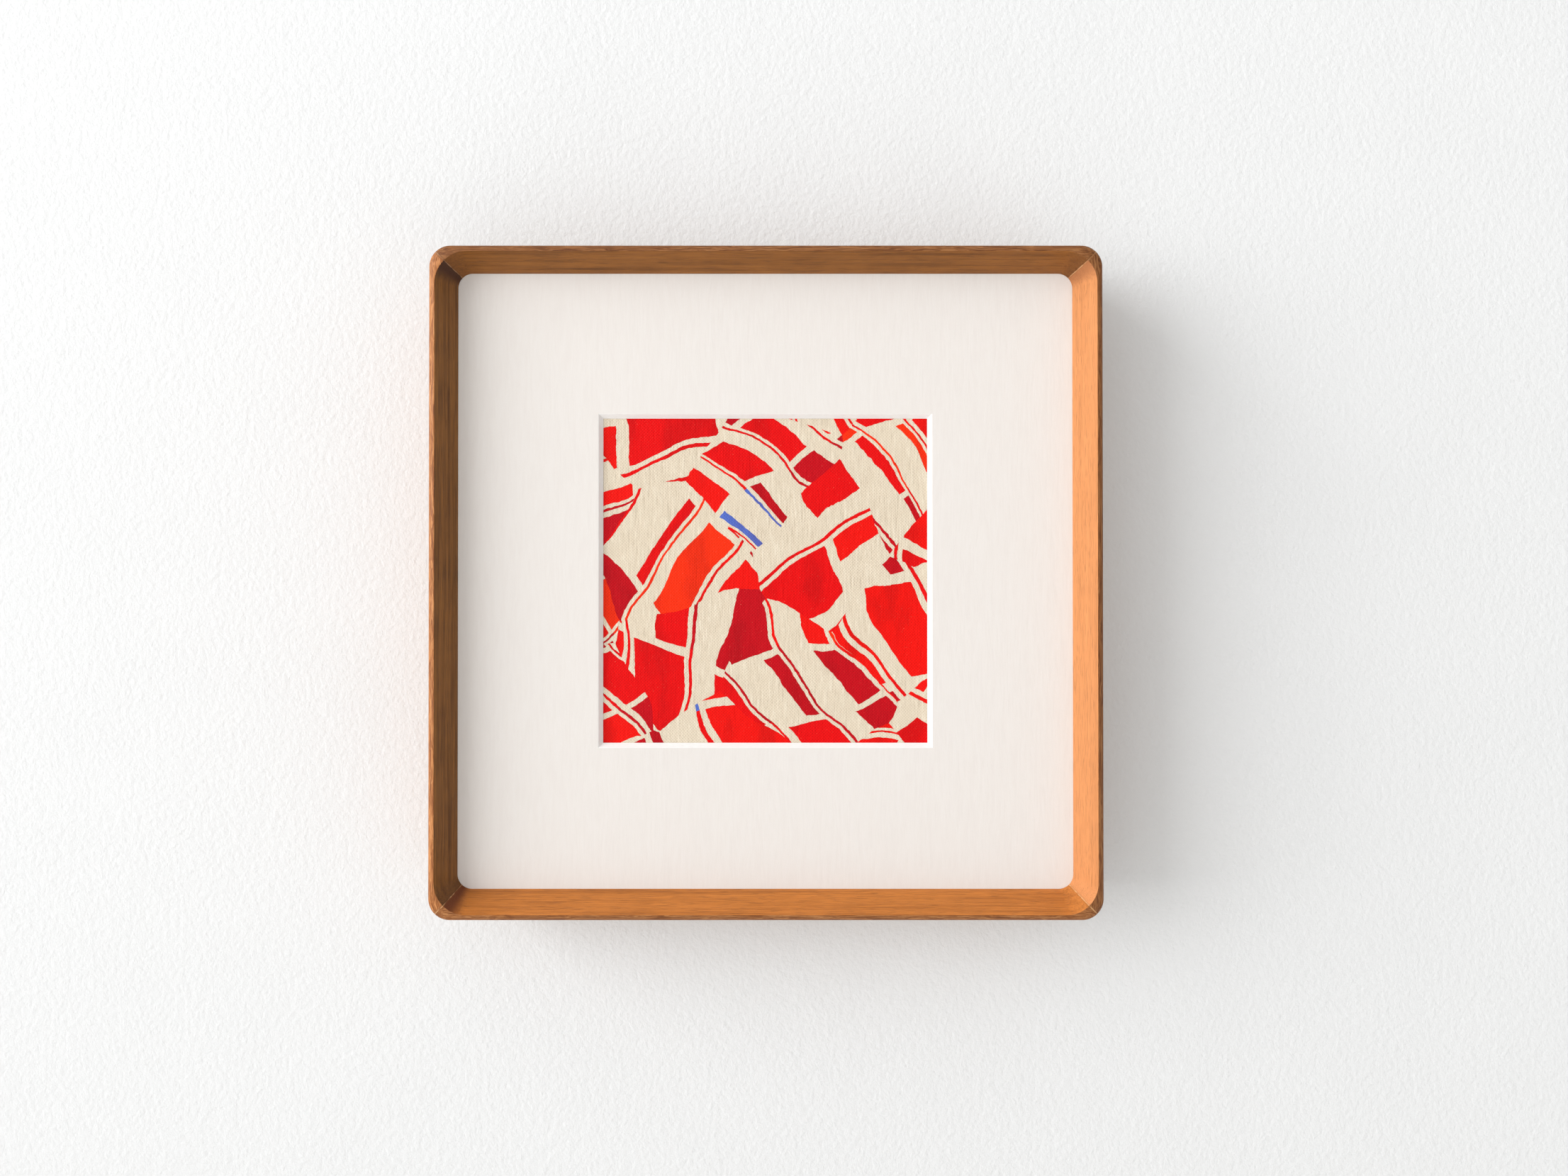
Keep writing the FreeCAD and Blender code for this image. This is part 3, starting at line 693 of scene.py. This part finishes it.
def dress_nodes():
    """Gives each piece that keeps its part's shape its own material."""
    zinc = plated_metal("zinc_plate", (0.72, 0.73, 0.74), (0.52, 0.53, 0.54), 0.36)
    brass = plated_metal("brass_plate", (0.80, 0.60, 0.28), (0.60, 0.42, 0.17), 0.30)
    white_board = board("white_board", (0.86, 0.85, 0.81), (0.76, 0.75, 0.70), (0.6, 0.6, 0.6))
    cleat_ply = plywood("cleat_plywood", 1.35, 5.0)
    dress = {
        "artwork_panel": board("panel_board", (0.42, 0.31, 0.20), (0.24, 0.16, 0.09), (0.8, 0.4, 0.8)),
        "mat_hinge_tape": linen_tape(),
        "artwork_hinges": board("hinge_paper", (0.82, 0.78, 0.68), (0.66, 0.61, 0.50), (0.3, 0.3, 6.0)),
        "backing_board": white_board,
        "filler_board_front": board("foam_board", (0.84, 0.85, 0.86), (0.74, 0.75, 0.76), (0.9, 0.3, 0.9)),
        "back_panel": plywood("back_plywood", 1.5, 2.0),
        "frame_cleat": cleat_ply,
        "wall_cleat": cleat_ply,
        "lower_spacer": cleat_ply,
        "panel_screws": zinc,
        "turn_button_screws": brass,
        "bumper_left": felt(),
    }
    dress["filler_board_back"] = dress["filler_board_front"]
    dress["bumper_right"] = dress["bumper_left"]
    for side in ("top", "bottom", "left", "right"):
        dress["sink_strip_" + side] = white_board
    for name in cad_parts:
        if name.startswith("turn_button_") and name != "turn_button_screws":
            dress[name] = zinc
    for name, material in dress.items():
        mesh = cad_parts[name].data
        mesh.materials.clear()
        mesh.materials.append(material)


# ------------------------------------------------------------------ the room

WALL_Y = 0.3 * MM
FLOOR_Z = CENTRE.z - 0.42
ROOM = 3.0


def build_room():
    wall = plane("wall", [(-ROOM, WALL_Y, FLOOR_Z), (ROOM, WALL_Y, FLOOR_Z), (ROOM, WALL_Y, ROOM),
                          (-ROOM, WALL_Y, ROOM)], painted_wall())
    wall.visible_shadow = False
    wall.visible_diffuse = False
    wall.visible_glossy = False
    floor_shade = Shade("pale_floor", Roughness=0.8)
    speck = floor_shade.noise(floor_shade.place, (40, 40, 40), detail=3)
    floor_colour = floor_shade.ramp(speck, [(0.3, (0.765, 0.755, 0.735)), (0.7, (0.78, 0.77, 0.75))])
    floor = plane("floor", [(-ROOM, -ROOM, FLOOR_Z), (ROOM, -ROOM, FLOOR_Z), (ROOM, ROOM, FLOOR_Z),
                            (-ROOM, ROOM, FLOOR_Z)], floor_shade.finish(floor_colour))


def area_light(name, place, target, size, power, colour):
    data = bpy.data.lights.new(name, "AREA")
    data.shape = "RECTANGLE"
    data.size, data.size_y = size
    data.energy = power
    data.color = colour
    light = bpy.data.objects.new(name, data)
    light.location = place
    light.rotation_euler = (Vector(target) - Vector(place)).to_track_quat("-Z", "Y").to_euler()
    light.visible_camera = False
    bpy.context.scene.collection.objects.link(light)
    return light


def build_light():
    """Soft daylight from a tall window on the left, and pale light from all round."""
    room_strength, window_side_share = 0.78, 0.5
    world = bpy.data.worlds.new("room_light")
    world.use_nodes = True
    nodes, links = world.node_tree.nodes, world.node_tree.links
    background = nodes["Background"]
    background.inputs["Color"].default_value = (1.0, 0.985, 0.965, 1)
    # The room is brighter on the window's side and darker on the far side, evenly between.
    direction = nodes.new("ShaderNodeTexCoord")
    towards_window = nodes.new("ShaderNodeVectorMath")
    towards_window.operation = "DOT_PRODUCT"
    towards_window.inputs[1].default_value = (-window_side_share * room_strength, 0, 0)
    strength = nodes.new("ShaderNodeMath")
    strength.operation = "ADD"
    strength.inputs[1].default_value = room_strength
    links.new(direction.outputs["Generated"], towards_window.inputs[0])
    links.new(towards_window.outputs["Value"], strength.inputs[0])
    links.new(strength.outputs["Value"], background.inputs["Strength"])
    bpy.context.scene.world = world
    # Three panes, from the wall outwards: (nearest Y, furthest Y, radiance).
    panes = {"near": (-0.90, -2.85, 5.6), "middle": (-2.85, -5.40, 4.8), "far": (-5.40, -10.2, 0.6)}
    window_x, height, middle_z = -4.5, 5.7, CENTRE.z + 0.75
    for name, (start, end, radiance) in panes.items():
        width, middle_y = start - end, (start + end) / 2
        power = radiance * math.pi * width * height
        place, target = (window_x, middle_y, middle_z), (0, middle_y, middle_z)
        area_light("window_" + name, place, target, (width, height), power, (0.99, 0.995, 1.0))
    area_light("rear_fill", (1.2, 1.6, 0.9), (0, 0, CENTRE.z), (1.2, 1.2), 9, (1, 1, 1))


def build_camera():
    """All but square on to the wall, left of and above the frame's middle, with the lens shifted."""
    data = bpy.data.cameras.new("camera")
    data.lens, data.sensor_width = 27.08, 36
    data.shift_x, data.shift_y = 0.0271, -0.0495
    data.dof.use_dof = False
    camera = bpy.data.objects.new("camera", data)
    camera.location = (-0.0112, RIDGE_Y - 0.540, CENTRE.z + 0.0293)
    camera.rotation_euler = (math.radians(90.39), 0, 0)
    bpy.context.scene.collection.objects.link(camera)
    bpy.context.scene.camera = camera


build_camera()
build_rails()
build_picture()
dress_nodes()
build_room()
build_light()
bpy.context.scene.view_settings.view_transform = "Standard"
